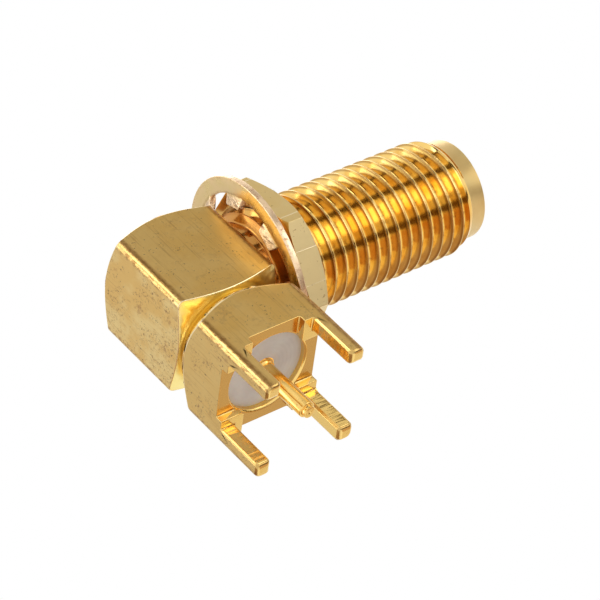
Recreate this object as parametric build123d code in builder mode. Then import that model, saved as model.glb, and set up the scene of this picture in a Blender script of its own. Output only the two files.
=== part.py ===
from build123d import *
from math import cos, pi, radians, sin, sqrt, tan
import os

os.makedirs("parts", exist_ok=True)

# A right-angle coaxial jack for a panel and a circuit board, gold plated.
# The barrel points along +X and the four board legs point down, along -Z.
# Origin: the signal pin's axis at the level of the board that the four bosses sit on.

# Square bar that the head and the base are cut from
bar_width = 5.97
bar_corner_radius = 0.35
turned_end_radius = 2.95  # the flat circle that is left on each turned end

# Head block
axis_height = 6.98  # barrel axis above the board
head_length = 6.26
head_top_cone = 28.5  # degrees from flat
head_bottom_cone = 19.0
head_rear_wall = 0.78  # metal left behind the cross bore

# Board base, with its legs
neck_gap = 0.34  # groove between the head and the base
neck_radius = 2.65
base_top_cone = 36.0
spigot_radius = 2.30
spigot_length = 0.80
base_floor_height = 0.42  # the base's underside above the board
boss_width = 1.405
leg_width = 0.885
leg_length = 3.04  # below the board level
slot_root_radius = 0.08
leg_tip_chamfer = 0.12
base_bore_radius = 2.32
base_bore_depth = 2.00
base_bore_chamfer = 0.10
feed_bore_radius = 1.90  # upper, narrower part of the base's bore

# Threaded barrel
thread_radius = 3.175
thread_pitch = 25.4 / 36
thread_depth = 0.40
thread_crest = 0.12
thread_root = 0.22
barrel_length = 14.23  # from the head's front face to the mouth
pilot_radius = 2.716
pilot_length = 1.02
pilot_edge = 0.08
thread_end_radius = 2.88
thread_end_chamfer = 0.60  # along the barrel
relief_radius = 2.80
relief_length = 0.45
barrel_spigot_radius = 2.50
barrel_spigot_length = 0.60
mating_bore_radius = 2.30
mating_bore_depth = 1.93
dielectric_radius = 2.06

# Centre conductor
contact_radius = 0.635
contact_rear = 0.90  # the contact reaches this far behind the signal pin
socket_radius = 0.47
socket_depth = 2.60
socket_slot_width = 0.16
socket_slot_depth = 1.80
pin_radius = 0.46
pin_length = 2.97  # below the board level
pin_stub_root_radius = 0.37
pin_stub_tip_radius = 0.34
pin_stub_length = 0.22
pin_neck_radius = 0.30  # the thin end that enters the contact
pin_neck_reach = 0.50  # above the barrel axis
pin_collar_radius = 0.60  # against the white insulator
pin_collar_end_radius = 0.53
pin_collar_height = 0.22
pin_body_radius = 0.635  # the thicker part inside the base insulator
insulator_recess = 0.36  # from the base's underside to the white insulator

# Lock washer, lying loose and leaning between the head and the nut
washer_gap = 0.775  # from the head's front face to the washer's centre
washer_radius = 5.19
washer_ring_width = 0.90
washer_thickness = 0.36
washer_tilt = 3.84  # degrees off square to the barrel
washer_tilt_direction = 52.8  # degrees round the barrel, from +Y towards +Z
tooth_count = 8
tooth_tip_radius = 3.72
tooth_width = 1.40
tooth_bend = 26.0  # degrees, towards the head
tooth_first_angle = 24.0
tooth_root_overlap = 0.12

# Hex nut
nut_gap = 0.525  # from the washer's centre to the nut's near face
nut_sides = 6
nut_flats = 7.94
nut_thickness = 1.345
nut_corner_angle = 22.1
nut_chamfer = 31.0  # degrees from flat
nut_near_chamfer_radius = 4.36  # where the chamfer of the near face starts
nut_thread_clearance = 0.05
nut_countersink = 0.25

# Places that follow from the sizes above
half_bar = bar_width / 2
boss_gap = bar_width - 2 * boss_width
leg_gap = bar_width - 2 * leg_width
bar_diagonal = sqrt(2) * half_bar
head_top = axis_height + head_length / 2
head_bottom = axis_height - head_length / 2
base_top = head_bottom - neck_gap
insulator_face = base_floor_height + insulator_recess
step_height = base_floor_height + base_bore_depth
spigot_top = head_bottom + spigot_length
cross_bore_rear = -(half_bar - head_rear_wall)
mouth = half_bar + barrel_length
reference_plane = mouth - mating_bore_depth
washer_centre = half_bar + washer_gap
nut_start = washer_centre + nut_gap

barrel_axis = Axis((0, 0, axis_height), (1, 0, 0))
barrel_section = Plane(origin=(0, 0, axis_height), x_dir=(1, 0, 0), z_dir=(0, -1, 0))


def across_barrel(x):
    """A plane square to the barrel, Y to its right and Z up it."""
    return Plane(origin=(x, 0, axis_height), x_dir=(0, 1, 0), z_dir=(1, 0, 0))


def turned_bar(bottom, top, bottom_cone, top_cone):
    """A length of the square bar, with both ends turned to a shallow cone."""
    with BuildPart() as bar:
        with BuildSketch(Plane.XY.offset(bottom)):
            RectangleRounded(bar_width, bar_width, bar_corner_radius)
        extrude(amount=top - bottom)
        overhang = bar_diagonal - turned_end_radius
        with BuildSketch(Plane.XZ):
            with BuildLine():
                Polyline(
                    (0, bottom),
                    (turned_end_radius, bottom),
                    (bar_diagonal, bottom + overhang * tan(radians(bottom_cone))),
                    (bar_diagonal, top - overhang * tan(radians(top_cone))),
                    (turned_end_radius, top),
                    (0, top),
                    close=True,
                )
            make_face()
        revolve(axis=Axis.Z, mode=Mode.INTERSECT)
    return bar.part


# Head block: a bore across it for the barrel's insulator, one from below for the base
head_bar = turned_bar(head_bottom, head_top, head_bottom_cone, head_top_cone)

with BuildPart() as head_block:
    add(head_bar)
    with BuildSketch(across_barrel(cross_bore_rear)):
        Circle(dielectric_radius)
    extrude(amount=half_bar - cross_bore_rear, mode=Mode.SUBTRACT)
    with BuildSketch(across_barrel(half_bar - barrel_spigot_length)):
        Circle(barrel_spigot_radius)
    extrude(amount=barrel_spigot_length, mode=Mode.SUBTRACT)
    with BuildSketch(Plane.XY.offset(head_bottom)):
        Circle(spigot_radius)
    extrude(amount=spigot_length, mode=Mode.SUBTRACT)
    with BuildSketch(Plane.XY.offset(spigot_top)):
        Circle(feed_bore_radius)
    extrude(amount=axis_height - dielectric_radius / 2 - spigot_top, mode=Mode.SUBTRACT)
head_block.part.label = "head_block"
export_step(head_block.part, "parts/head_block.step")


# Board base: the same bar, with a neck and spigot on top and milled slots below
def corner_edges(part, height, inner_gap):
    """The straight edges in the four corners at one height, outside a gap of this width."""
    level = part.edges().filter_by_position(
        Axis.Z, height - slot_root_radius, height + slot_root_radius
    )
    return level.filter_by(GeomType.LINE).filter_by(
        lambda edge: min(abs(edge.center().X), abs(edge.center().Y))
        > inner_gap / 2 - slot_root_radius
        and max(abs(edge.center().X), abs(edge.center().Y)) < half_bar - slot_root_radius
    )


base_bar = turned_bar(-leg_length, base_top, 0, base_top_cone)

with BuildPart() as pcb_base:
    add(base_bar)
    with BuildSketch(Plane.XY.offset(base_top)):
        Circle(neck_radius)
    extrude(amount=neck_gap)
    with BuildSketch(Plane.XY.offset(head_bottom)):
        Circle(spigot_radius)
    extrude(amount=spigot_length)
    # Two stepped slots that cross, wide between the legs and narrower between the bosses
    for slot_end in (Plane.XZ, Plane.YZ):
        with BuildSketch(slot_end.offset(-bar_width)):
            with Locations((0, -leg_length)):
                Rectangle(leg_gap, leg_length, align=(Align.CENTER, Align.MIN))
                Rectangle(
                    boss_gap, leg_length + base_floor_height, align=(Align.CENTER, Align.MIN)
                )
        extrude(amount=2 * bar_width, mode=Mode.SUBTRACT)
    leg_roots = corner_edges(pcb_base.part, 0, leg_gap)
    floor_roots = corner_edges(pcb_base.part, base_floor_height, boss_gap)
    fillet(leg_roots + floor_roots, slot_root_radius)
    tips = pcb_base.edges().group_by(Axis.Z)[0]
    outer_tips = tips.filter_by(
        lambda edge: max(abs(edge.center().X), abs(edge.center().Y)) > half_bar - bar_corner_radius
    )
    chamfer(outer_tips, leg_tip_chamfer)
    with BuildSketch(Plane.XY):
        Circle(base_bore_radius)
    extrude(amount=step_height, mode=Mode.SUBTRACT)
    with BuildSketch(Plane.XZ):
        with BuildLine():
            Polyline(
                (0, base_floor_height - base_bore_chamfer),
                (base_bore_radius + 2 * base_bore_chamfer, base_floor_height - base_bore_chamfer),
                (base_bore_radius, base_floor_height + base_bore_chamfer),
                (0, base_floor_height + base_bore_chamfer),
                close=True,
            )
        make_face()
    revolve(axis=Axis.Z, mode=Mode.SUBTRACT)
    with BuildSketch(Plane.XY.offset(step_height)):
        Circle(feed_bore_radius)
    extrude(amount=spigot_top - step_height, mode=Mode.SUBTRACT)
pcb_base.part.label = "pcb_base"
export_step(pcb_base.part, "parts/pcb_base.step")


# Threaded barrel: one section turned about the barrel's axis
def thread_outline(start, end):
    """Points of the thread's ridges from start to end, one crest to each pitch."""
    flank = (thread_pitch - thread_crest - thread_root) / 2
    points = []
    crests = int((end - start - thread_crest) / thread_pitch)
    for turn in range(crests):
        x = start + turn * thread_pitch
        points += [
            (x, thread_radius),
            (x + thread_crest, thread_radius),
            (x + thread_crest + flank, thread_radius - thread_depth),
            (x + thread_crest + flank + thread_root, thread_radius - thread_depth),
        ]
    return points + [(start + crests * thread_pitch, thread_radius), (end, thread_radius)]


with BuildPart() as threaded_barrel:
    thread_start = half_bar + relief_length
    thread_end = mouth - pilot_length
    with BuildSketch(barrel_section):
        with BuildLine():
            Polyline(
                (half_bar - barrel_spigot_length, dielectric_radius),
                (half_bar - barrel_spigot_length, barrel_spigot_radius),
                (half_bar, barrel_spigot_radius),
                (half_bar, relief_radius),
                (thread_start - (thread_radius - relief_radius) / 2, relief_radius),
                *thread_outline(thread_start, thread_end - thread_end_chamfer),
                (thread_end, thread_end_radius),
                (thread_end, pilot_radius),
                (mouth - pilot_edge, pilot_radius),
                (mouth, pilot_radius - pilot_edge),
                (mouth, mating_bore_radius),
                (reference_plane, mating_bore_radius),
                (reference_plane, dielectric_radius),
                close=True,
            )
        make_face()
    revolve(axis=barrel_axis)
threaded_barrel.part.label = "threaded_barrel"
export_step(threaded_barrel.part, "parts/threaded_barrel.step")


# Barrel insulator: a white rod with a bore for the contact and a hole for the signal pin
with BuildPart() as barrel_insulator:
    with BuildSketch(across_barrel(cross_bore_rear)):
        Circle(dielectric_radius)
    extrude(amount=reference_plane - cross_bore_rear)
    with BuildSketch(across_barrel(-contact_rear)):
        Circle(contact_radius)
    extrude(amount=reference_plane + contact_rear, mode=Mode.SUBTRACT)
    with BuildSketch(Plane.XY.offset(axis_height - dielectric_radius)):
        Circle(pin_neck_radius)
    extrude(amount=dielectric_radius, mode=Mode.SUBTRACT)
barrel_insulator.part.label = "barrel_insulator"
export_step(barrel_insulator.part, "parts/barrel_insulator.step")


# Base insulator: a stepped white plug round the signal pin
with BuildPart() as base_insulator:
    with BuildSketch(Plane.XY.offset(insulator_face)):
        Circle(base_bore_radius)
    extrude(amount=step_height - insulator_face)
    with BuildSketch(Plane.XY.offset(step_height)):
        Circle(feed_bore_radius)
    extrude(amount=axis_height - dielectric_radius - step_height)
    with BuildSketch(Plane.XY.offset(insulator_face)):
        Circle(pin_body_radius)
    extrude(amount=axis_height - insulator_face, mode=Mode.SUBTRACT)
base_insulator.part.label = "base_insulator"
export_step(base_insulator.part, "parts/base_insulator.step")


# Centre contact: a rod with a slotted socket in front and a cross hole for the signal pin
with BuildPart() as centre_contact:
    with BuildSketch(across_barrel(-contact_rear)):
        Circle(contact_radius)
    extrude(amount=reference_plane + contact_rear)
    with BuildSketch(across_barrel(reference_plane - socket_depth)):
        Circle(socket_radius)
    extrude(amount=socket_depth, mode=Mode.SUBTRACT)
    with BuildSketch(across_barrel(reference_plane - socket_slot_depth)):
        Rectangle(2 * contact_radius, socket_slot_width)
        Rectangle(socket_slot_width, 2 * contact_radius)
    extrude(amount=socket_slot_depth, mode=Mode.SUBTRACT)
    with BuildSketch(Plane.XY.offset(axis_height - contact_radius)):
        Circle(pin_neck_radius)
    extrude(amount=2 * contact_radius, mode=Mode.SUBTRACT)
centre_contact.part.label = "centre_contact"
export_step(centre_contact.part, "parts/centre_contact.step")


# Signal pin: turned, from the contact down through the board, with a collar and a small stub
with BuildPart() as signal_pin:
    pin_shoulder = axis_height - dielectric_radius
    with BuildSketch(Plane.XZ):
        with BuildLine():
            Polyline(
                (0, -pin_length),
                (pin_stub_tip_radius, -pin_length),
                (pin_stub_root_radius, pin_stub_length - pin_length),
                (pin_radius, pin_stub_length - pin_length),
                (pin_radius, insulator_face - pin_collar_height),
                (pin_collar_end_radius, insulator_face - pin_collar_height),
                (pin_collar_radius, insulator_face),
                (pin_body_radius, insulator_face),
                (pin_body_radius, pin_shoulder),
                (pin_neck_radius, pin_shoulder),
                (pin_neck_radius, axis_height + pin_neck_reach),
                (0, axis_height + pin_neck_reach),
                close=True,
            )
        make_face()
    revolve(axis=Axis.Z)
signal_pin.part.label = "signal_pin"
export_step(signal_pin.part, "parts/signal_pin.step")


# Lock washer: a flat ring whose teeth point inwards and bend towards the head
lean = radians(washer_tilt)
lean_way = radians(washer_tilt_direction)
washer_normal = Vector(cos(lean), -sin(lean) * cos(lean_way), -sin(lean) * sin(lean_way))
washer_plane = Plane(
    origin=(washer_centre, 0, axis_height),
    x_dir=Vector(sin(lean) * cos(lean_way), cos(lean), 0),
    z_dir=washer_normal,
)
tooth_root_radius = washer_radius - washer_ring_width
tooth_root = tooth_root_radius + tooth_root_overlap
tooth_length = (tooth_root - tooth_tip_radius) / cos(radians(tooth_bend))

with BuildPart() as lock_washer:
    with BuildSketch(washer_plane):
        Circle(washer_radius)
        Circle(tooth_root_radius, mode=Mode.SUBTRACT)
    extrude(amount=washer_thickness / 2, both=True)
    for tooth in range(tooth_count):
        angle = radians(tooth_first_angle + 360 / tooth_count * tooth)
        outward = washer_plane.x_dir * cos(angle) + washer_plane.y_dir * sin(angle)
        hinge = Axis((0, 0, 0), washer_normal.cross(outward))
        inward = -outward.rotate(hinge, -tooth_bend)
        face = washer_normal.rotate(hinge, -tooth_bend)
        root = washer_plane.origin + outward * tooth_root
        with BuildSketch(Plane(origin=root, x_dir=inward, z_dir=face)):
            Rectangle(tooth_length, tooth_width, align=(Align.MIN, Align.CENTER))
        extrude(amount=washer_thickness / 2, both=True)
lock_washer.part.label = "lock_washer"
export_step(lock_washer.part, "parts/lock_washer.step")


# Hex nut: a wide chamfer on the far face, a small one on the near face, a countersunk hole
nut_corner_radius = nut_flats / 2 / cos(pi / nut_sides)
nut_hole_radius = thread_radius + nut_thread_clearance

with BuildPart() as hex_nut:
    with BuildSketch(across_barrel(nut_start)):
        RegularPolygon(nut_corner_radius, nut_sides, rotation=nut_corner_angle)
    extrude(amount=nut_thickness)
    slope = tan(radians(nut_chamfer))
    near_drop = (nut_corner_radius - nut_near_chamfer_radius) * slope
    far_drop = (nut_corner_radius - nut_flats / 2) * slope
    nut_end = nut_start + nut_thickness
    with BuildSketch(barrel_section):
        with BuildLine():
            Polyline(
                (nut_start, nut_hole_radius + nut_countersink),
                (nut_start, nut_near_chamfer_radius),
                (nut_start + near_drop, nut_corner_radius),
                (nut_end - far_drop, nut_corner_radius),
                (nut_end, nut_flats / 2),
                (nut_end, nut_hole_radius + nut_countersink),
                (nut_end - nut_countersink, nut_hole_radius),
                (nut_start + nut_countersink, nut_hole_radius),
                close=True,
            )
        make_face()
    revolve(axis=barrel_axis, mode=Mode.INTERSECT)
hex_nut.part.label = "hex_nut"
export_step(hex_nut.part, "parts/hex_nut.step")
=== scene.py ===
import math

import bmesh
import bpy
from mathutils import Matrix, Quaternion, Vector, noise


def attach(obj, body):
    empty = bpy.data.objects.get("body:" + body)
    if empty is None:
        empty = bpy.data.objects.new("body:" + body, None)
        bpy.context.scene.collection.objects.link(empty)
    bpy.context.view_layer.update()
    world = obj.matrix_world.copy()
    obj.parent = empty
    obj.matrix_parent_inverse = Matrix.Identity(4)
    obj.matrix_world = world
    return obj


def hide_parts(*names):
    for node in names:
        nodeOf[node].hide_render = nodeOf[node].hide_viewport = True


mm = 0.001
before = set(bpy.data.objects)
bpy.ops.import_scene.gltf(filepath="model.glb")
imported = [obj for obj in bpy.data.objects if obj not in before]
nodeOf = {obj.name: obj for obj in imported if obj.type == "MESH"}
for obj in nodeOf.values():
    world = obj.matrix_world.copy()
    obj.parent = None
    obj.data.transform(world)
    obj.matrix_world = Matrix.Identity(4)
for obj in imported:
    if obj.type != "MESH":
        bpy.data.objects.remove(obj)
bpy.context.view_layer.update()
axisHeight = 6.98  # the barrel's axis above the board
barHalf = 2.985  # half the square bar's width
footLevel = -3.04  # the leg tips
floorGap = 0.005  # between the leg tips and the floor
sameSpot = {"cad": 0.0005, "thread": 0.0008}  # vertices closer than this are joined
print("frame loaded")


class Signal:  # one socket of a finish; + - * on it add Math nodes
    def __init__(self, finish, socket):
        self.finish, self.socket = finish, socket

    def math(self, operation, *values):
        return self.finish.node("Math", {"operation": operation}, dict(enumerate(values)))

    def __add__(self, other):
        return self.math("ADD", self, other)

    def __sub__(self, other):
        return self.math("SUBTRACT", self, other)

    def __rsub__(self, other):
        return self.math("SUBTRACT", other, self)

    def __mul__(self, other):
        return self.math("MULTIPLY", self, other)

    __radd__ = __add__
    __rmul__ = __mul__

    def most(self, other):
        return self.math("MAXIMUM", self, other)

    def least(self, other):
        return self.math("MINIMUM", self, other)

    def size(self):
        return self.math("ABSOLUTE", self)

    def ramp(self, low, high):  # smooth step, 0 at low and 1 at high
        return self.finish.node(
            "MapRange",
            {"interpolation_type": "SMOOTHSTEP"},
            {"Value": self, "From Min": low, "From Max": high},
        )


class Finish:  # a material on a Principled shader
    def __init__(self, name, **values):
        self.material = bpy.data.materials.new(name)
        self.material.use_nodes = True
        self.tree = self.material.node_tree
        self.shader = self.tree.nodes["Principled BSDF"]
        self.set(**values)
        place = self.node("TexCoord", {}, {}, "Object")
        self.at = self.vector("SCALE", place, Scale=1 / mm)  # millimetres in the part's own frame
        parts = self.tree.nodes.new("ShaderNodeSeparateXYZ")
        self.tree.links.new(self.at.socket, parts.inputs[0])
        self.x, self.y, self.z = (Signal(self, parts.outputs[i]) for i in range(3))
        self.normal = self.node("TexCoord", {}, {}, "Normal")
        self.height = None

    def node(self, kind, settings, inputs, output=0):
        made = self.tree.nodes.new("ShaderNode" + kind)
        for key, value in settings.items():
            setattr(made, key, value)
        for key, value in inputs.items():
            if isinstance(value, Signal):
                self.tree.links.new(value.socket, made.inputs[key])
            else:
                made.inputs[key].default_value = value
        return Signal(self, made.outputs[output])

    def set(self, **values):
        for key, value in values.items():
            socket = self.shader.inputs[key.replace("_", " ")]
            if isinstance(value, Signal):
                self.tree.links.new(value.socket, socket)
            else:
                socket.default_value = (*value, 1) if isinstance(value, tuple) else value

    def vector(self, operation, *values, **named):
        output = "Value" if operation in ("DOT_PRODUCT", "LENGTH") else 0
        return self.node(
            "VectorMath", {"operation": operation}, {**dict(enumerate(values)), **named}, output
        )

    def stretched(self, x, y, z):  # the place, with each direction scaled by itself
        return self.vector("MULTIPLY", self.at, (x, y, z))

    def fromAxis(self):  # millimetres from the barrel's axis
        centred = self.vector("SUBTRACT", self.at, (0, 0, axisHeight))
        return self.vector("LENGTH", self.vector("MULTIPLY", centred, (0, 1, 1)))

    def facing(self, way, low, high):  # 1 where the surface looks along this direction
        return self.vector("DOT_PRODUCT", self.normal, way).ramp(low, high)

    def noise(self, scale, detail, roughness, at=None, offset=0.0):  # offset keeps two noises apart
        spot = self.vector("ADD", at or self.at, (offset, offset * 0.7, offset * 1.3))
        inputs = {"Vector": spot, "Scale": scale, "Detail": detail, "Roughness": roughness}
        return self.node("TexNoise", {}, inputs, "Fac")

    def speckles(self, scale, share, soft, offset):  # sparse dots, gathered in patches
        patch = self.noise(scale * 0.22, 2.0, 0.5, offset=offset).ramp(0.50, 0.62)
        fine = self.noise(scale, 4.0, 0.7, offset=offset + 3).ramp(1 - share, 1 - share + soft)
        return patch * fine

    def mixed(self, amount, first, second):  # colours
        first, second = ((*c, 1) if isinstance(c, tuple) else c for c in (first, second))
        return self.node("Mix", {"data_type": "RGBA"}, {0: amount, 6: first, 7: second}, 2)

    def bump(self, height, strength, reach):
        inputs = {"Height": height, "Strength": strength, "Distance": reach * mm}
        if self.height:
            inputs["Normal"] = self.height
        self.height = self.node("Bump", {}, inputs, "Normal")
        self.set(Normal=self.height)


gold = {
    "bright": (0.97, 0.67, 0.22),
    "deep": (0.90, 0.52, 0.11),
    "khaki": (0.77, 0.58, 0.26),
    "tan": (0.70, 0.45, 0.15),
    "rose": (1.0, 0.74, 0.48),
    "brown": (0.34, 0.17, 0.05),
    "pit": (0.07, 0.03, 0.012),
    "frontShade": (0.74, 0.46, 0.12),  # painted shade: the head's and base's front flat, darker and deeper orange
    "olive": (0.62, 0.41, 0.14),  # the base's rear flat
    "stain": (0.36, 0.20, 0.08),
    "scuff": (0.28, 0.14, 0.06),
    "gap": (0.64, 0.36, 0.10),  # painted shade on faces that look down, low on the base between the legs
    # painted highlight: pale cream for the base's turned top rim
    "rim": (1.0, 0.84, 0.52),
    "reflectedLemon": (1.0, 0.86, 0.34),
    "dull": (0.72, 0.50, 0.22),  # the thread's crests
    "neckShade": (0.52, 0.20, 0.04),  # painted shade: the thread's first turns, by the head and washer, dark orange-brown
    "flax": (0.76, 0.55, 0.22),
    # painted reflection: the nut's one bright flat
    "pale": (1.0, 0.82, 0.45),
    "scratch": (1.0, 0.86, 0.58),
    "sand": (0.80, 0.58, 0.30),
    "rust": (0.40, 0.17, 0.08),
    "soot": (0.14, 0.07, 0.04),
}
# the insulators' white, partly painted: darker for the shade of their recesses, warmer for the gold
# reflected on them
wax = {"light": (0.78, 0.70, 0.61), "warm": (0.70, 0.61, 0.53), "speck": (0.45, 0.36, 0.30)}


def barStock():  # head and base: drawn bar, its flats satin, what is turned or milled bright
    finish = Finish("barGold", Metallic=1.0)
    sides = [(-1, 0, 0), (1, 0, 0), (0, -1, 0), (0, 1, 0)]
    upright = [finish.facing(way, 0.80, 0.97) for way in sides]
    alongX, alongY = upright[0] + upright[1], upright[2] + upright[3]
    reachX, reachY = finish.x.size(), finish.y.size()
    skin = reachX.most(reachY).ramp(barHalf - 0.10, barHalf - 0.05)  # the bar's own surface
    corner = reachX.least(reachY).ramp(barHalf - 0.50, barHalf - 0.32)
    flats = ((alongX + alongY).least(1.0) * skin).most(corner * skin)
    milled = (alongX + alongY) * (1 - skin) * finish.z.ramp(0.1, -0.2)

    cloud = finish.noise(0.45, 4.0, 0.62)
    mottle = finish.noise(2.2, 3.0, 0.65, offset=17.0)
    drawn = finish.noise(1.0, 3.0, 0.7, at=finish.stretched(9.0, 9.0, 0.30), offset=5.0)
    fineLines = finish.noise(1.0, 1.0, 0.5, at=finish.stretched(22.0, 22.0, 0.12), offset=8.0)
    nearCorner = reachX.least(reachY).ramp(1.7, 2.5) * (1 - corner) * flats
    grain = finish.noise(8.0, 3.0, 0.65, at=finish.stretched(1.0, 1.0, 0.5), offset=2.0)
    crust = finish.noise(5.5, 4.0, 0.7, at=finish.stretched(1.0, 1.0, 0.6), offset=29.0)
    ridges = finish.noise(1.0, 2.0, 0.55, at=finish.stretched(0.5, 0.5, 3.2), offset=3.0)
    baseUndersideShade = finish.facing((0, 0, -1), 0.8, 0.97) * finish.z.ramp(0.30, 0.38)
    baseUndersideShade = baseUndersideShade * finish.z.ramp(0.50, 0.44)  # painted shade, only on faces that look down at these levels

    satin = finish.mixed(cloud.ramp(0.38, 0.62), gold["khaki"], gold["tan"])
    # painted shade: the front (-Y) flats made darker and deeper orange
    satin = finish.mixed(upright[2] * 0.6, satin, gold["frontShade"])
    satin = finish.mixed(upright[0] * finish.z.ramp(3.6, 3.3) * 0.8, satin, gold["olive"])
    color = finish.mixed(flats * 0.9, gold["bright"], satin)
    color = finish.mixed(mottle.ramp(0.50, 0.70) * flats * 0.45, color, gold["tan"])
    color = finish.mixed(drawn.ramp(0.54, 0.74) * flats * 0.42, color, gold["brown"])
    color = finish.mixed(corner * skin * crust.ramp(0.46, 0.58) * 0.8, color, gold["brown"])
    stains = finish.speckles(2.4, 0.48, 0.12, 1.0) * flats * (0.45 + alongX * 0.55)
    pits = finish.speckles(7.0, 0.42, 0.05, 9.0) * flats
    color = finish.mixed(stains * 0.6, color, gold["stain"])
    scuffs = finish.noise(4.5, 5.0, 0.8, offset=77.0).ramp(0.54, 0.62)
    scuffs = scuffs * finish.noise(0.55, 1.0, 0.5, offset=81.0).ramp(0.50, 0.58) * alongX * skin
    color = finish.mixed(scuffs * 0.8, color, gold["scuff"])
    color = finish.mixed(pits * 0.75, color, gold["pit"])
    freckles = finish.noise(16.0, 2.0, 0.6, offset=53.0).ramp(0.68, 0.74) * (1 - flats)
    color = finish.mixed(freckles * 0.4, color, gold["brown"])
    # painted shade under the base, between the legs
    color = finish.mixed(baseUndersideShade * 0.9, color, gold["gap"])
    steep = finish.vector("DOT_PRODUCT", finish.normal, (0, 0, 1)).size()
    rim = steep.ramp(0.10, 0.24) * (1 - steep.ramp(0.76, 0.84)) * finish.z.ramp(1.8, 2.2)
    worn = steep.ramp(0.20, 0.45) * (1 - steep.ramp(0.75, 0.95)) * finish.z.ramp(-2.6, -2.7)  # the leg tips' slanted faces, made darker brown
    # painted reflection: the head's bottom cone made lemon yellow, as the gold below would show in it
    coneReflection = finish.z.ramp(3.60, 3.80) * finish.z.ramp(4.9, 4.7) * steep.ramp(0.88, 0.93)
    # painted highlight: pale cream along the base's turned top rim
    color = finish.mixed(rim * 0.8, color, gold["rim"])
    color = finish.mixed(worn * 0.5, color, gold["brown"])
    color = finish.mixed(coneReflection * 0.8, color, gold["reflectedLemon"])
    # painted shade: the corners' rounding made darker where it turns to the front
    frontCornerShade = corner * skin * finish.facing((0, -1, 0), 0.72, 0.95)
    color = finish.mixed(frontCornerShade * 0.65, color, gold["brown"])
    rough = 0.14 + flats * 0.15 + grain.ramp(0.3, 0.7) * 0.06 + stains * 0.12
    rough = rough + coneReflection * 0.16
    finish.set(Base_Color=color, Roughness=rough)

    finish.bump(drawn * flats, 0.35, 0.014)
    finish.bump(fineLines * nearCorner, 0.8, 0.012)
    finish.bump(grain, 0.22, 0.010)
    finish.bump(crust * corner, 0.6, 0.030)
    finish.bump(1 - pits, 0.5, 0.02)
    finish.bump(ridges * milled, 0.6, 0.06)
    return finish.material


def threadGold():  # turned barrel: bright, with fine turning lines, dull along the crests
    finish = Finish("threadGold", Metallic=1.0)
    out = finish.fromAxis()
    crest = out.ramp(3.155, 3.17)
    groove = out.ramp(2.95, 2.80)
    ring = finish.x.ramp(16.15, 16.20)  # the plain ring at the mouth
    cloud = finish.noise(0.8, 3.0, 0.6, offset=4.0)
    turning = finish.noise(1.0, 2.0, 0.6, at=finish.stretched(24.0, 0.5, 0.5), offset=7.0)
    # painted shade: brown patches in the grooves' roots
    rootShade = finish.noise(2.2, 4.0, 0.65, offset=12.0).ramp(0.52, 0.68) * (1 - ring)
    border = out.ramp(3.02, 3.12) * (1 - crest) * (1 - ring)
    color = finish.mixed(cloud.ramp(0.35, 0.7), gold["bright"], gold["deep"])
    color = finish.mixed(crest * 0.8, color, gold["dull"])
    color = finish.mixed(ring * 0.75, color, gold["khaki"])
    color = finish.mixed(rootShade * groove * 0.55, color, gold["brown"])
    color = finish.mixed(border * 0.65, color, gold["brown"])
    # painted shade: dark orange-brown on the turns near the head
    color = finish.mixed(finish.x.ramp(5.0, 3.9) * 0.8, color, gold["neckShade"])
    rough = 0.10 + cloud * 0.06 + rootShade * groove * 0.12 + crest * 0.10 + ring * 0.26
    finish.set(Base_Color=color, Roughness=rough)
    finish.bump(turning, 0.25, 0.010)
    finish.bump(finish.noise(9.0, 3.0, 0.7, offset=61.0) * crest, 0.5, 0.012)
    return finish.material


def nutGold():  # hexagon bar: dull flats with fine lines along the bar, a few of them bright
    finish = Finish("nutGold", Metallic=1.0)
    cloud = finish.noise(0.7, 3.0, 0.6, offset=14.0)
    lines = finish.noise(1.0, 3.0, 0.7, at=finish.stretched(0.35, 9.0, 9.0), offset=3.0)
    scratches = finish.noise(1.0, 1.0, 0.5, at=finish.stretched(0.12, 7.0, 7.0), offset=19.0)
    scratches = scratches.ramp(0.70, 0.74)
    pits = finish.speckles(5.0, 0.40, 0.05, 22.0)
    endFace = finish.facing((-1, 0, 0), 0.6, 0.95) + finish.facing((1, 0, 0), 0.6, 0.95)
    flats = 1 - endFace
    color = finish.mixed(cloud.ramp(0.3, 0.7), gold["khaki"], gold["flax"])
    # painted reflection: the flat that faces this way made paler
    sheenFlat = finish.facing((0, -0.614, -0.789), 0.90, 0.98)
    color = finish.mixed(sheenFlat * 0.6, color, gold["pale"])
    color = finish.mixed(endFace * 0.7, color, gold["deep"])
    color = finish.mixed(scratches * flats * 0.8, color, gold["scratch"])
    color = finish.mixed(pits * 0.8, color, gold["brown"])
    finish.set(Base_Color=color, Roughness=0.22 + cloud * 0.1 + flats * 0.08)
    finish.bump(lines * flats, 0.35, 0.010)
    finish.bump(scratches * flats, 0.5, -0.02)
    finish.bump(finish.noise(7.0, 3.0, 0.65, offset=33.0), 0.2, 0.010)
    return finish.material


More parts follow.
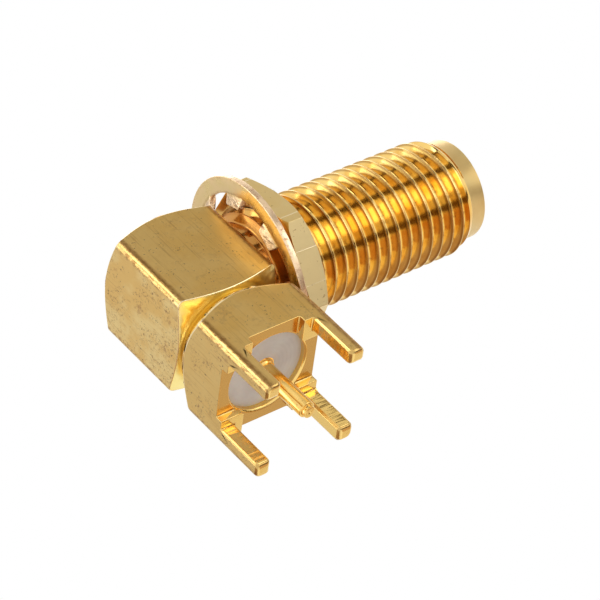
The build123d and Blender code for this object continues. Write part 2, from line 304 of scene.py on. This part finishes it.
def washerGold():  # stamped sheet: beige faces, rosy sheared edges with brown specks
    finish = Finish("washerGold", Metallic=1.0)
    cloud = finish.noise(0.9, 3.0, 0.6, offset=24.0)
    speck = finish.noise(5.0, 5.0, 0.75, offset=31.0)
    face = finish.facing((-1, 0, 0), 0.75, 0.97) + finish.facing((1, 0, 0), 0.75, 0.97)
    out = finish.fromAxis()
    rim = out.ramp(4.90, 5.14) * speck.ramp(0.50, 0.62)
    inside = out.ramp(4.48, 4.33) * speck.ramp(0.40, 0.55)
    tooth = out.ramp(4.28, 4.12)
    scrape = finish.noise(1.0, 3.0, 0.75, at=finish.stretched(2.0, 8.0, 1.2), offset=37.0)
    color = finish.mixed(cloud.ramp(0.35, 0.7), gold["khaki"], gold["sand"])
    color = finish.mixed(1 - face, color, gold["rose"])
    color = finish.mixed(tooth * 0.7, color, gold["rose"])
    color = finish.mixed(rim * 0.55, color, gold["rust"])
    color = finish.mixed(inside * 0.45, color, gold["brown"])
    color = finish.mixed(scrape.ramp(0.53, 0.62) * tooth * 0.8, color, gold["soot"])
    finish.set(Base_Color=color, Roughness=0.24 + cloud * 0.08 + rim * 0.2)
    finish.bump(speck, 0.35, 0.018)
    finish.bump(scrape * tooth, 0.8, 0.03)
    return finish.material


def pinGold():  # centre contact and signal pin: drawn lengthways
    finish = Finish("pinGold", Metallic=1.0)
    lines = finish.noise(1.0, 3.0, 0.7, at=finish.stretched(7.0, 7.0, 0.22), offset=6.0)
    specks = finish.speckles(6.0, 0.42, 0.06, 71.0)
    color = finish.mixed(lines.ramp(0.4, 0.7), gold["bright"], gold["deep"])
    color = finish.mixed(lines.ramp(0.60, 0.72) * 0.35, color, gold["brown"])
    color = finish.mixed(specks * 0.6, color, gold["brown"])
    finish.set(Base_Color=color, Roughness=0.11 + lines * 0.12)
    finish.bump(lines, 0.5, 0.014)
    return finish.material


def waxyWhite():  # insulators
    finish = Finish("waxyWhite", Subsurface_Weight=0.15, Subsurface_Scale=0.4 * mm)
    cloud = finish.noise(0.7, 3.0, 0.6, offset=41.0)
    grain = finish.noise(9.0, 2.0, 0.6, offset=43.0)
    out = finish.vector("LENGTH", finish.vector("MULTIPLY", finish.at, (1, 1, 0)))
    rings = finish.node("Math", {"operation": "SINE"}, {0: out * 26.0})
    color = finish.mixed(cloud.ramp(0.3, 0.7), wax["light"], wax["warm"])
    color = finish.mixed(grain.ramp(0.66, 0.76) * 0.25, color, wax["speck"])
    finish.set(Base_Color=color, Roughness=0.36 + grain * 0.12)
    finish.bump(rings, 0.15, 0.006)
    finish.bump(grain, 0.15, 0.010)
    return finish.material


bar, thread, nutMilled = barStock(), threadGold(), nutGold()
sheet, drawnPin, white = washerGold(), pinGold(), waxyWhite()
print("finishes made")


def piece(name, bm, material, body, node, smooth):  # stands in for this node of the CAD
    mesh = bpy.data.meshes.new(name)
    bmesh.ops.recalc_face_normals(bm, faces=bm.faces)
    bm.to_mesh(mesh)
    bm.free()
    mesh.shade_smooth()
    mesh.set_sharp_from_angle(angle=math.radians(smooth))
    made = bpy.data.objects.new(name, mesh)
    bpy.context.scene.collection.objects.link(made)
    mesh.materials.append(material)
    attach(made, body)
    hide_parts(node)
    return made


def plainEdge(spot, way):  # every edge the same
    return 1.0


edgeFold, flatFold = 22, 0.6  # degrees: a fold over the first is an edge, under the second it is none


def brokenEdges(name, node, material, body, width, weight=plainEdge, segments=3):
    source = nodeOf[node].data
    bm = bmesh.new()
    corners = [bm.verts.new(v.co) for v in source.vertices]
    for face in source.polygons:
        bm.faces.new([corners[i] for i in face.vertices])
    bmesh.ops.remove_doubles(bm, verts=bm.verts, dist=sameSpot["cad"] * mm)
    bmesh.ops.recalc_face_normals(bm, faces=bm.faces)
    bmesh.ops.dissolve_limit(bm, angle_limit=math.radians(flatFold), verts=bm.verts, edges=bm.edges)
    share = bm.edges.layers.float.new("bevel_weight_edge")
    for edge in bm.edges:
        if len(edge.link_faces) == 2 and edge.calc_face_angle() > math.radians(edgeFold):
            low, high = (vert.co / mm for vert in edge.verts)
            edge[share] = weight((low + high) / 2, (high - low).normalized())
    box = [[pick(v.co[i] for v in bm.verts) for i in range(3)] for pick in (min, max)]
    made = piece(name, bm, material, body, node, edgeFold)
    worn = made.modifiers.new("wornEdges", "BEVEL")
    worn.width, worn.segments = width * mm, segments
    worn.limit_method, worn.use_clamp_overlap = "WEIGHT", False
    shaped = made.evaluated_get(bpy.context.evaluated_depsgraph_get())
    mesh = bpy.data.meshes.new_from_object(shaped)
    for vert in mesh.vertices:  # a mitred corner stays inside the piece's own box
        vert.co = [min(max(vert.co[i], box[0][i]), box[1][i]) for i in range(3)]
    made.modifiers.clear()
    made.data = mesh
    flat = made.modifiers.new("flatFaces", "WEIGHTED_NORMAL")
    flat.keep_sharp = False


baseWear = {  # shares of the widest bevel, and the levels between which they hold
    "rim": 0.7, "rimLevel": 2.4, "innerTip": 1.0, "outerTip": 0.28, "tipLevel": -2.9, "innerReach": 2.2,
    "legSide": 0.6, "upright": 0.9, "elsewhere": 0.13,
}


def baseEdge(spot, way):  # wide at the turned rim and the tips' inner edges, least at the blocks' edges
    w = baseWear
    if spot.z > w["rimLevel"]:
        return w["rim"]
    if spot.z < w["tipLevel"]:
        return w["innerTip"] if min(abs(spot.x), abs(spot.y)) < w["innerReach"] else w["outerTip"]
    return w["legSide"] if spot.z < 0 and abs(way.z) > w["upright"] else w["elsewhere"]


brokenEdges("headBlock", "head_block", bar, "body", 0.045)
brokenEdges("pcbBase", "pcb_base", bar, "body", 0.260, baseEdge)
brokenEdges("hexNut", "hex_nut", nutMilled, "nut", 0.025, segments=2)
print("head, base and nut made")


def lathe(bm, profile, around, upright=False):  # turns (along, radius) points about the barrel or Z
    rings = []
    for along, radius in profile:
        ring = []
        for i in range(around):
            side = radius * math.cos(2 * math.pi * i / around)
            front = radius * math.sin(2 * math.pi * i / around)
            spot = (side, front, along) if upright else (along, side, front + axisHeight)
            ring.append(bm.verts.new(Vector(spot) * mm))
        rings.append(ring)
    for low, high in zip(rings, rings[1:]):
        for i in range(around):
            j = (i + 1) % around
            bm.faces.new((low[i], low[j], high[j], high[i]))
    return rings


barrel = {
    "threadStart": 3.435, "startRadius": 2.80, "startLength": 0.35, "startSlope": 1.1,
    "threadEnd": 15.595, "endRadius": 2.88, "chamferEnd": 16.195, "chamferDrop": 0.295, "chamferLength": 0.6,
    "crestRadius": 3.175, "crest": 0.05, "straight": 0.20, "slope": math.tan(math.radians(60)),
    "rootSteps": 10, "pitch": 25.4 / 36, "around": 144,
    "turned": [  # (along, radius), from the thread's start by way of the bore to the thread's end
        (3.435, 2.80), (2.985, 2.80), (2.985, 2.50), (2.385, 2.50), (2.385, 2.06),  # shoulder, spigot
        (15.285, 2.06), (15.285, 2.30), (17.19, 2.30),  # bores
        (17.215, 2.34), (17.215, 2.66), (17.195, 2.70), (17.15, 2.716),  # mouth
        (16.23, 2.716), (16.195, 2.74), (16.195, 2.88),  # plain ring
    ],
}


def threadDepth(share):  # below the crest, at a share of the pitch: straight flanks, a round root
    b = barrel
    along = share * b["pitch"]
    away = max(0.0, min(along - b["crest"], b["pitch"] - along))
    if away <= b["straight"]:
        return away * b["slope"]
    reach = (b["pitch"] - b["crest"]) / 2 - b["straight"]
    t = (away - b["straight"]) / reach
    return b["slope"] * (b["straight"] + reach * (t - t * t / 2))


def threadedBarrel():  # a wound thread, closed at both ends by what is turned
    b = barrel
    around, pitch, near, far = b["around"], b["pitch"], b["threadStart"], b["chamferEnd"]
    crest, straight = b["crest"] / pitch, b["straight"] / pitch
    root = 1 - crest - 2 * straight
    stops = [0, crest, crest + straight / 2]
    stops += [crest + straight + root * step / b["rootSteps"] for step in range(b["rootSteps"] + 1)]
    stops += [1 - straight / 2]
    first = math.floor(near / pitch) - 1
    last = math.ceil(far / pitch) + 1
    bm = bmesh.new()
    rings = []
    for turn in range(first, last + 1):
        for share in stops:
            ring = []
            for step in range(around + 1):  # one turn, its two ends a pitch apart
                angle = 2 * math.pi * step / around
                x = (turn + share + step / around) * pitch
                radius = b["crestRadius"] - threadDepth(share)
                if x > b["threadEnd"]:
                    cone = b["crestRadius"] - (x - b["threadEnd"]) * b["chamferDrop"] / b["chamferLength"]
                    radius = min(radius, cone)
                if x < near + b["startLength"]:
                    radius = min(radius, b["startRadius"] + (x - near) * b["startSlope"])
                if x <= near:
                    x, radius = near, b["startRadius"]
                if x >= far:
                    x, radius = far, b["endRadius"]
                ring.append((x, radius * math.cos(angle), radius * math.sin(angle) + axisHeight))
            rings.append(ring)
    grid = [[bm.verts.new(Vector(p) * mm) for p in ring] for ring in rings]
    for low, high in zip(grid, grid[1:]):
        for i in range(around):
            bm.faces.new((low[i], low[i + 1], high[i + 1], high[i]))
    bmesh.ops.remove_doubles(bm, verts=bm.verts, dist=sameSpot["thread"] * mm)
    lathe(bm, b["turned"], around)
    bmesh.ops.remove_doubles(bm, verts=bm.verts, dist=sameSpot["thread"] * mm)
    return bm


piece("threadedBarrel", threadedBarrel(), thread, "body", "threaded_barrel", 38)
print("barrel made")


pin = {
    "around": 64,
    "turned": [  # (height, radius), from the tip's middle to the top's
        (-2.91, 0.01), (-2.922, 0.066), (-2.97, 0.11),  # dimple
        (-2.97, 0.29), (-2.955, 0.325), (-2.92, 0.34), (-2.80, 0.35), (-2.77, 0.34), (-2.75, 0.36),  # stub
        (-2.75, 0.41), (-2.73, 0.445), (-2.69, 0.46), (0.56, 0.46),  # the pin itself
        (0.56, 0.50), (0.59, 0.53), (0.76, 0.60), (0.78, 0.60),  # collar
        (0.78, 0.635), (4.92, 0.635), (4.92, 0.30), (7.48, 0.30), (7.48, 0.01),  # inside the insulator
    ],
}


def signalPin():
    bm = bmesh.new()
    rings = lathe(bm, pin["turned"], pin["around"], upright=True)
    for ring in (rings[0], rings[-1]):
        bm.faces.new(ring)
    return bm


piece("signalPin", signalPin(), drawnPin, "body", "signal_pin", 40)
print("pin made")


washer = {
    "centre": (3.76, 0.0, axisHeight), "tilt": 3.84, "way": 52.8, "outer": 5.19, "inner": 4.29,
    "thick": 0.36, "round": 0.05, "around": 200, "burr": 0.020, "burrThins": 0.06, "edgeReach": 0.4,
    "teeth": 8, "firstAngle": 24.0, "root": 4.41, "toothLength": 0.76, "toothWidth": 1.56, "tipWidth": 1.26,
    "toothThinner": 0.02, "toothRound": 0.04, "bend": 26.0, "bentWithin": 0.3, "tipTwist": 4.0,
    "tipStart": 0.85, "tipShare": 0.15, "tipNarrows": 0.08, "steps": 10,
}


def roundedBox(width, height, corner):  # points round a rectangle with round corners
    points, steps = [], 3
    for quarter, (sx, sy) in enumerate(((1, 1), (-1, 1), (-1, -1), (1, -1))):
        for i in range(steps + 1):
            angle = math.pi / 2 * (quarter + i / steps)
            points.append((
                sx * (width / 2 - corner) + corner * math.cos(angle),
                sy * (height / 2 - corner) + corner * math.sin(angle),
            ))
    return points


def skinned(bm, sections, closed):  # joins equal loops of points to one surface
    loops = [[bm.verts.new(p * mm) for p in section] for section in sections]
    pairs = list(zip(loops, loops[1:])) + ([(loops[-1], loops[0])] if closed else [])
    for low, high in pairs:
        for i in range(len(low)):
            j = (i + 1) % len(low)
            bm.faces.new((low[i], low[j], high[j], high[i]))
    if not closed:
        bm.faces.new(loops[0])
        bm.faces.new(loops[-1])


def lockWasher():
    w = washer
    lean, way = math.radians(w["tilt"]), math.radians(w["way"])
    normal = Vector((
        math.cos(lean), -math.sin(lean) * math.cos(way), -math.sin(lean) * math.sin(way)
    ))
    side = Vector((math.sin(lean) * math.cos(way), math.cos(lean), 0)).normalized()
    front, centre = normal.cross(side), Vector(w["centre"])
    bm = bmesh.new()
    sections = []
    middle, width = (w["outer"] + w["inner"]) / 2, w["outer"] - w["inner"]
    for step in range(w["around"]):
        angle = 2 * math.pi * step / w["around"]
        outward = side * math.cos(angle) + front * math.sin(angle)
        section = []
        for number, (across, along) in enumerate(roundedBox(width, w["thick"], w["round"])):
            burr = noise.noise(Vector((angle * 16, number * 0.8, 3.0)))
            across -= w["burr"] * abs(burr) if across > 0 else 0.0
            along *= 1 - w["burrThins"] * abs(burr) if abs(across) > width * w["edgeReach"] else 1.0
            section.append(centre + outward * (middle + across) + normal * along)
        sections.append(section)
    skinned(bm, sections, True)
    for tooth in range(w["teeth"]):
        angle = math.radians(w["firstAngle"] + 360 / w["teeth"] * tooth)
        outward = side * math.cos(angle) + front * math.sin(angle)
        spot = centre + outward * w["root"]
        sections = []
        for step in range(w["steps"] + 1):
            share = step / w["steps"]
            bend = math.radians(w["bend"]) * min(1, share / w["bentWithin"])  # towards the head
            inward = -outward * math.cos(bend) - normal * math.sin(bend)
            twist = Quaternion(inward, math.radians(w["tipTwist"]) * share)
            flat = twist @ (normal * math.cos(bend) - outward * math.sin(bend))
            edge = inward.cross(flat)
            wide = w["toothWidth"] + (w["tipWidth"] - w["toothWidth"]) * share
            wide -= w["tipNarrows"] * max(0, share - w["tipStart"]) / w["tipShare"]
            box = roundedBox(wide, w["thick"] - w["toothThinner"], w["toothRound"])
            sections.append([spot + edge * a + flat * b for a, b in box])
            spot = spot + inward * w["toothLength"] / w["steps"]
        skinned(bm, sections, False)
    return bm


piece("lockWasher", lockWasher(), sheet, "washer", "lock_washer", 50)
print("washer made")


shownAsBuilt = {"barrel_insulator": white, "base_insulator": white, "centre_contact": drawnPin}
for node, material in shownAsBuilt.items():
    for holder in nodeOf[node].material_slots:
        holder.material = material


photoView = {
    "lens": 202.17, "sensor": 36.0, "place": (-83.30, -109.89, -90.83),
    "right": (0.788096, -0.108598, -0.605897), "up": (0.331699, -0.754256, 0.566634),
    "back": (-0.518537, -0.647537, -0.558405),
}
target = Vector((6.0, 0.0, 4.5)) * mm  # what the lamps and cards look at


def seen(right, up, back):  # a direction given as the photograph's right, up and towards the viewer
    return (
        Vector(photoView["right"]) * right
        + Vector(photoView["up"]) * up
        + Vector(photoView["back"]) * back
    ).normalized()


lens = bpy.data.cameras.new("camera")
lens.lens, lens.sensor_width = photoView["lens"], photoView["sensor"]
lens.clip_start, lens.clip_end = 1 * mm, 10
camera = bpy.data.objects.new("camera", lens)
bpy.context.scene.collection.objects.link(camera)
turn = Matrix([photoView["right"], photoView["up"], photoView["back"]]).transposed().to_4x4()
camera.matrix_world = Matrix.Translation(Vector(photoView["place"]) * mm) @ turn
bpy.context.scene.camera = camera


def aimed(made, way, distance):  # looking at the part from here, its width along the barrel
    along = (Vector((1, 0, 0)) - way * way.x).normalized()
    turn = Matrix((along, way.cross(along), way)).transposed().to_4x4()
    made.matrix_world = Matrix.Translation(target + way * distance * mm) @ turn
    bpy.context.scene.collection.objects.link(made)
    return made


def softLamp(name, way, distance, size, brightness):  # brightness 1 is as bright as white paper
    data = bpy.data.lights.new(name, "AREA")
    data.size = size * mm
    data.energy = brightness * math.pi * (size * mm) ** 2
    made = aimed(bpy.data.objects.new(name, data), way, distance)
    made.visible_camera = False


lamps = {  # way, distance, size, brightness
    "rightLamp": (seen(0.75, 0.49, 0.45), 300, 150, 1.3),
    "leftLamp": (seen(-1.0, -0.08, 0.02), 300, 180, 1.8),
    "topLamp": (seen(-0.70, 0.61, 0.37), 300, 130, 1.8),
    "farLamp": (seen(-0.115, 0.448, -0.889), 300, 150, 1.5),
}
for name, values in lamps.items():
    softLamp(name, *values)


def panel(name, way, distance, width, height, color):  # a card that only reflections show
    w, h = width / 2 * mm, height / 2 * mm
    mesh = bpy.data.meshes.new(name)
    mesh.from_pydata([(-w, -h, 0), (w, -h, 0), (w, h, 0), (-w, h, 0)], [], [(0, 1, 2, 3)])
    finish = Finish(name, Base_Color=(0, 0, 0), Roughness=1.0, Specular_IOR_Level=0.0)
    finish.set(Emission_Color=color, Emission_Strength=1.0)
    mesh.materials.append(finish.material)
    made = aimed(bpy.data.objects.new(name, mesh), way, distance)
    for ray in ("camera", "diffuse", "shadow", "transmission"):
        setattr(made, "visible_" + ray, False)


mirror = {"along": 0.5185, "across": 0.855}  # parts of a line of sight that the barrel has mirrored


def mirrored(degrees):  # what the barrel shows to the photograph's place, by angle round its axis
    angle = math.radians(degrees)
    return Vector((mirror["along"], mirror["across"] * math.cos(angle), mirror["across"] * math.sin(angle)))


panels = {  # way, distance, width, height, colour
    "leftPanel": (seen(-0.82, -0.35, -0.46), 100, 84, 84, (0.76, 0.75, 0.72)),
    "overPanel": (seen(0.14, 0.98, -0.16), 100, 120, 96, (0.80, 0.78, 0.74)),
    "underPanel": (seen(0.66, -0.66, -0.38), 100, 60, 60, (0.80, 0.74, 0.64)),
    "rightPanel": (seen(0.91, -0.05, 0.41), 100, 50, 70, (0.72, 0.70, 0.66)),
    # painted shade: a warm dark card for shaded ground under the barrel, seen in its reflection
    "warmShadeCard": (mirrored(283), 96, 90, 62, (0.60, 0.40, 0.28)),
    # painted shade: a dark brown card for shaded ground below, seen in reflections
    "belowShadeCard": (Vector((-0.66, 0.72, -0.22)), 100, 110, 110, (0.46, 0.30, 0.19)),
    "overGap": (mirrored(138), 80, 130, 9, (0.07, 0.045, 0.02)),
    "upperGap": (mirrored(177), 80, 150, 16, (0.07, 0.045, 0.02)),
    "rightGap": (mirrored(253), 80, 180, 20, (0.10, 0.06, 0.03)),
    "cornerGap": (seen(-0.33, 0.90, 0.27), 80, 37, 37, (0.15, 0.13, 0.11)),
}
for name, values in panels.items():
    panel(name, *values)


def floor():  # pale, with the part's shadow; seen from above only
    mesh = bpy.data.meshes.new("floor")
    reach, level = 400 * mm, (footLevel - floorGap) * mm
    mesh.from_pydata(
        [(-reach, -reach, level), (reach, -reach, level), (reach, reach, level), (-reach, reach, level)],
        [], [(0, 1, 2, 3)],
    )
    finish = Finish("paleFloor", Base_Color=(0.86, 0.86, 0.85), Roughness=0.7)
    below = finish.node("NewGeometry", {}, {}, "Backfacing")
    clear = finish.node("BsdfTransparent", {}, {})
    pale = Signal(finish, finish.shader.outputs[0])
    either = finish.node("MixShader", {}, {0: below, 1: pale, 2: clear})
    finish.tree.links.new(either.socket, finish.tree.nodes["Material Output"].inputs["Surface"])
    mesh.materials.append(finish.material)
    made = bpy.data.objects.new("floor", mesh)
    bpy.context.scene.collection.objects.link(made)
    for ray in ("diffuse", "glossy", "shadow"):
        setattr(made, "visible_" + ray, False)


floor()


room = {"tint": (0.92, 0.94, 1.0, 1), "strength": 0.62}  # what lights the part; rays that see it meet white
world = bpy.data.worlds.new("room")
bpy.context.scene.world = world
world.use_nodes = True
nodes, links = world.node_tree.nodes, world.node_tree.links
rays = nodes.new("ShaderNodeLightPath")
shown, inGloss = nodes.new("ShaderNodeMath"), nodes.new("ShaderNodeMath")
shown.operation = inGloss.operation = "MAXIMUM"
links.new(rays.outputs["Is Glossy Ray"], inGloss.inputs[0])
links.new(rays.outputs["Is Transmission Ray"], inGloss.inputs[1])
links.new(rays.outputs["Is Camera Ray"], shown.inputs[0])
links.new(inGloss.outputs[0], shown.inputs[1])
plain = nodes["Background"]
plain.inputs["Color"].default_value = room["tint"]
plain.inputs["Strength"].default_value = room["strength"]
paper = nodes.new("ShaderNodeBackground")
paper.inputs["Color"].default_value = (1, 1, 1, 1)
either = nodes.new("ShaderNodeMixShader")
links.new(shown.outputs[0], either.inputs[0])
links.new(plain.outputs[0], either.inputs[1])
links.new(paper.outputs[0], either.inputs[2])
links.new(either.outputs[0], nodes["World Output"].inputs["Surface"])

bpy.context.scene.view_settings.view_transform = "Standard"
print("camera, lamps and stage made")
